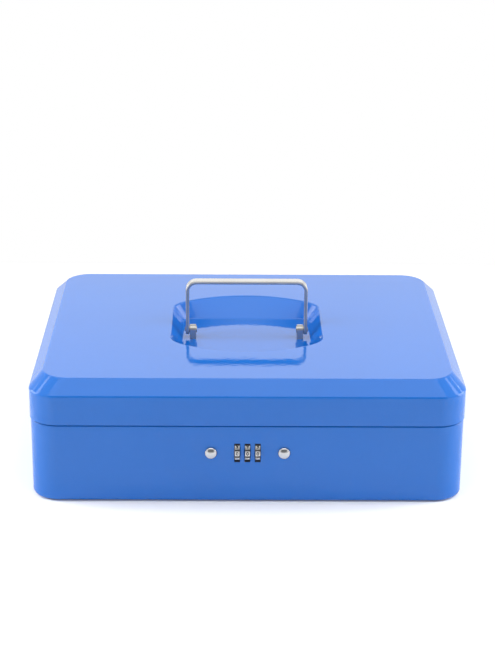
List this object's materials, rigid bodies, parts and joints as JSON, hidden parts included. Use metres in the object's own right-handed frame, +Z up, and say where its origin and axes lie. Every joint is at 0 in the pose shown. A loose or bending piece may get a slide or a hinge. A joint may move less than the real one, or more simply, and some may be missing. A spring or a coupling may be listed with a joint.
{
  "type": "cash box",
  "caption": "Steel cash box with a bevelled lid, folding handle in a sunken dish, three-dial combination lock with two push buttons, and a lift-out coin tray.",
  "frame": {"origin": "middle of the flat underside, directly below the middle of the lid", "axes": "+Z up; -Y towards the front with the dials; +X to the right as seen from the front"},
  "size_m": [0.3, 0.2485, 0.121],
  "materials": {
    "blue_paint": "glossy blue powder coat",
    "nickel_plate": "nickel plate",
    "chrome_button": "polished chrome",
    "dial_metal": "satin silver",
    "zinc_steel": "zinc plated sheet",
    "bright_steel": "bright steel",
    "tray_plastic": "moulded black plastic"
  },
  "bodies": {
    "base": {"base_shell": "blue_paint", "lock_case": "zinc_steel", "lock_studs": "bright_steel", "lock_nuts": "bright_steel", "dial_cradle": "zinc_steel", "cradle_rivets": "bright_steel", "dial_axle": "bright_steel", "axle_rings": "bright_steel", "detent_spring": "bright_steel", "left_tray_rail": "blue_paint", "right_tray_rail": "blue_paint", "left_hinge_base_leaf": "blue_paint", "right_hinge_base_leaf": "blue_paint", "left_hinge_pin": "bright_steel", "right_hinge_pin": "bright_steel"},
    "lid": {"lid_shell": "blue_paint", "left_hinge_lid_leaf": "blue_paint", "right_hinge_lid_leaf": "blue_paint", "strike_plate": "zinc_steel", "strike_bar": "zinc_steel", "left_handle_clip": "nickel_plate", "right_handle_clip": "nickel_plate"},
    "handle": {"handle_bail": "nickel_plate", "handle_pivot_pins": "nickel_plate"},
    "left_dial": {"left_dial": "dial_metal", "left_cam": "dial_metal"},
    "middle_dial": {"middle_dial": "dial_metal", "middle_cam": "dial_metal"},
    "right_dial": {"right_dial": "dial_metal", "right_cam": "dial_metal"},
    "left_button": {"left_button": "chrome_button", "left_button_rings": "bright_steel", "left_latch_hook": "zinc_steel", "left_button_spring": "bright_steel"},
    "right_button": {"right_button": "chrome_button", "right_button_rings": "bright_steel", "right_latch_hook": "zinc_steel", "right_button_spring": "bright_steel"},
    "code_lever": {"code_lever": "tray_plastic"},
    "coin_tray": {"coin_tray": "tray_plastic"}
  },
  "joints": [
    {"name": "lid_hinge", "type": "hinge", "parent": "base", "child": "lid", "pos_m": [0, 0.1224, 0.0568], "axis": [-1, 0, 0], "range_deg": [0, 100]},
    {"name": "handle_fold", "type": "hinge", "parent": "lid", "child": "handle", "pos_m": [0, 0, 0.0825], "axis": [1, 0, 0], "range_deg": [-90, 90]},
    {"name": "code_slide", "type": "slide", "parent": "base", "child": "code_lever", "axis": [1, 0, 0], "range_m": [0, 0.005]},
    {"name": "tray_lift", "type": "slide", "parent": "base", "child": "coin_tray", "axis": [0, 0, 1], "range_m": [0, 0.008]},
    {"name": "left_dial_turn", "type": "hinge", "parent": "base", "child": "left_dial", "pos_m": [0, -0.1133, 0.0368], "axis": [1, 0, 0], "continuous": true},
    {"name": "middle_dial_turn", "type": "hinge", "parent": "base", "child": "middle_dial", "pos_m": [0, -0.1133, 0.0368], "axis": [1, 0, 0], "continuous": true},
    {"name": "right_dial_turn", "type": "hinge", "parent": "base", "child": "right_dial", "pos_m": [0, -0.1133, 0.0368], "axis": [1, 0, 0], "continuous": true},
    {"name": "left_button_press", "type": "slide", "parent": "base", "child": "left_button", "axis": [0, -1, 0], "range_m": [0, 0.0026], "stiffness_N_per_m": 400, "springref_m": 0.0045, "deforming": ["left_button_spring"]},
    {"name": "right_button_press", "type": "slide", "parent": "base", "child": "right_button", "axis": [0, -1, 0], "range_m": [0, 0.0026], "stiffness_N_per_m": 400, "springref_m": 0.0045, "deforming": ["right_button_spring"]}
  ]
}
